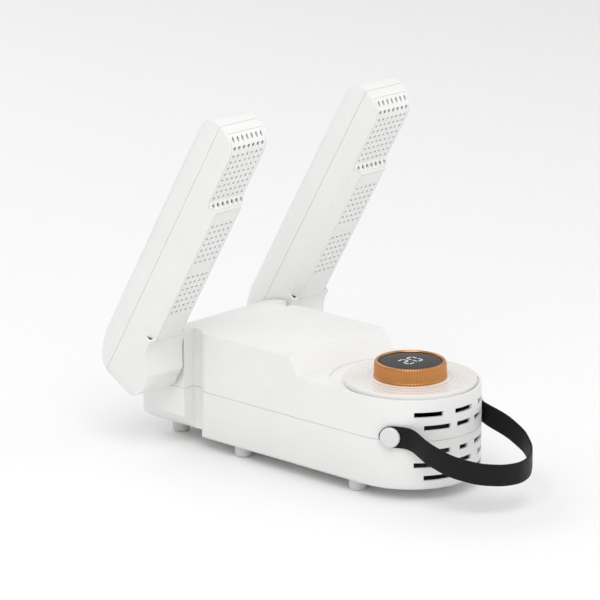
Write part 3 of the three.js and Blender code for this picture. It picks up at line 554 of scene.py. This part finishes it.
@dataclass
class Base:
    """The base's small fittings: six turned rubber feet."""

    rubber: bpy.types.Material

    def build(self) -> None:
        """Turns each foot from its node's box: a rounded pad on a straight shank."""
        for side in SIDES:
            for place in ("front", "middle", "rear"):
                node = f"foot_{place}_{side}"
                low, high = corners(node)
                centre = (low + high) / 2 * (1, 1, 0)
                r, floor, top = (high[0] - low[0]) / 2, low[2], high[2]
                profile = [(0, floor), (r - 2.2 * MM, floor), (r - 0.8 * MM, floor + 0.4 * MM),
                           (r, floor + 1.6 * MM), (r, top - 0.3 * MM), (r - 0.3 * MM, top), (0, top)]
                points, faces = lathe(profile, 64)
                piece = mesh_object(f"{node}_pad", points + centre, faces, self.rubber)
                outward(piece)
                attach(piece, "base")
                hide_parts(node)


@dataclass
class Studio:
    """Pale floor, soft lights and the camera."""

    view: tuple = (-2.39807, -2.10723, 1.05898)
    turn: tuple = (74.232, 0.0, -47.039)
    lens: float = 239.3

    def build(self) -> None:
        """Makes the floor, three area lights, the sky and the camera."""
        half = 6.0
        points = np.array(((-half, -half, 0), (half, -half, 0), (half, half, 0), (-half, half, 0)))
        white = Finish("studio_floor", (0.9, 0.9, 0.9), 0.7, Pattern.SOLID, variation=0.005).build()
        floor = mesh_object("studio_floor", points, [(0, 1, 2, 3)], white)
        for name, place, aim, size, power in (
                ("key", (-1.1, -0.9, 1.9), (0.75, 0, -0.75), 1.6, 23),
                ("fill", (1.6, -1.4, 1.1), (0.9, 0, 0.85), 1.8, 6),
                ("back", (0.2, 2.0, 1.6), (-0.9, 0, 0.1), 2.0, 11)):
            lamp = bpy.data.lights.new(name, "AREA")
            lamp.size, lamp.energy = size, power
            light = bpy.data.objects.new(name, lamp)
            light.location = place
            light.rotation_euler = aim
            bpy.context.scene.collection.objects.link(light)
        world = bpy.data.worlds.new("studio")
        world.use_nodes = True
        world.node_tree.nodes["Background"].inputs[0].default_value = (1, 1, 1, 1)
        world.node_tree.nodes["Background"].inputs[1].default_value = 0.72
        bpy.context.scene.world = world
        bpy.context.scene.view_settings.view_transform = "Standard"
        low, high = corners("knob_ring")
        centre = (low + high) / 2
        eye = bpy.data.objects.new("camera", bpy.data.cameras.new("camera"))
        eye.data.lens, eye.data.sensor_width = self.lens, 36
        eye.location = (centre[0] + self.view[0], centre[1] + self.view[1], self.view[2])
        eye.rotation_euler = tuple(math.radians(a) for a in self.turn)
        bpy.context.scene.collection.objects.link(eye)
        bpy.context.scene.camera = eye


def dress(node: str, finish: bpy.types.Material) -> None:
    """Gives a CAD node that stays in view its material, on each of its slots."""
    there = frame["nodes"][node].data.materials
    for place in range(max(1, len(there))):
        if place < len(there):
            there[place] = finish
        else:
            there.append(finish)


def main() -> None:
    """Builds each sub-assembly in order and reports it."""
    logging.basicConfig(level=logging.INFO, format="%(message)s")
    low, high = corners("knob_ring")
    axis = tuple(float(v) for v in (low + high) / 2)
    white = Finish("shell_white", (0.83, 0.83, 0.82), 0.36, grain=0.0005, depth=0.00002, coat=0.15).build()
    plate = Finish("dial_plate", (0.8, 0.78, 0.75), 0.16, Pattern.RINGS, 0.0009, 0.00001,
                   coat=0.5, centre=axis).build()
    bronze = Finish("knob_bronze", (0.62, 0.27, 0.09), 0.3, Pattern.BRUSHED, 0.0004, 0.00002,
                    variation=0.1, metallic=1.0).build()
    glass = Finish("display_glass", (0.006, 0.006, 0.008), 0.08, Pattern.SOLID, specular=0.12).build()
    lit = Finish("display_digits", (0.85, 0.88, 0.9), 0.4, Pattern.SOLID).build()
    leather = Finish("strap_leather", (0.006, 0.006, 0.0065), 0.5, Pattern.HIDE, 0.0011, 0.00012,
                     variation=0.25, specular=0.22).build()
    rubber = Finish("foot_rubber", (0.68, 0.68, 0.67), 0.75, grain=0.0004, depth=0.00005).build()
    stud = Finish("stud_plastic", (0.7, 0.7, 0.7), 0.38, grain=0.0005).build()
    inner = Finish("inner_plastic", (0.05, 0.053, 0.056), 0.55, grain=0.0006).build()
    metal = Finish("plain_metal", (0.6, 0.61, 0.63), 0.34, Pattern.BRUSHED, 0.0006, metallic=1.0).build()
    board = Finish("board", (0.02, 0.12, 0.05), 0.4, grain=0.0008).build()
    by_slot = {"shell_white": white, "dial_plate": plate, "knob_bronze": bronze, "display_glass": glass,
               "strap_leather": leather, "foot_rubber": rubber, "stud_plastic": stud, "inner_plastic": inner,
               "plain_metal": metal, "board": board}
    for part in frame["record"]["subparts"]:
        dress(part["node"], by_slot[part["material_slot"]])
    log.info("finishes: %d slots dressed", len(by_slot))

    shell = Moulding(white)
    for node in ("upper_shell", "lower_shell"):
        shell.build(node, "base")
    for side in SIDES:
        for kind in ("arm_back", "arm_front", "outlet_strip", "outlet_head"):
            shell.build(f"{kind}_{side}", f"arm_{side}")
        Moulding(stud, "stud_plastic").build(f"strap_stud_{side}", "base")
        Moulding(inner, "inner_plastic").build(f"trunnion_{side}", f"arm_{side}")
    log.info("mouldings: base and arms")
    Dial(plate, bronze, glass, lit).build()
    log.info("dial: plate, ring, window and digits")
    CarryStrap(leather).build()
    log.info("strap: one length of leather")
    Base(rubber).build()
    log.info("base: six feet")
    Studio().build()
    log.info("studio: floor, lights and camera")


if __name__ == "__main__":
    main()
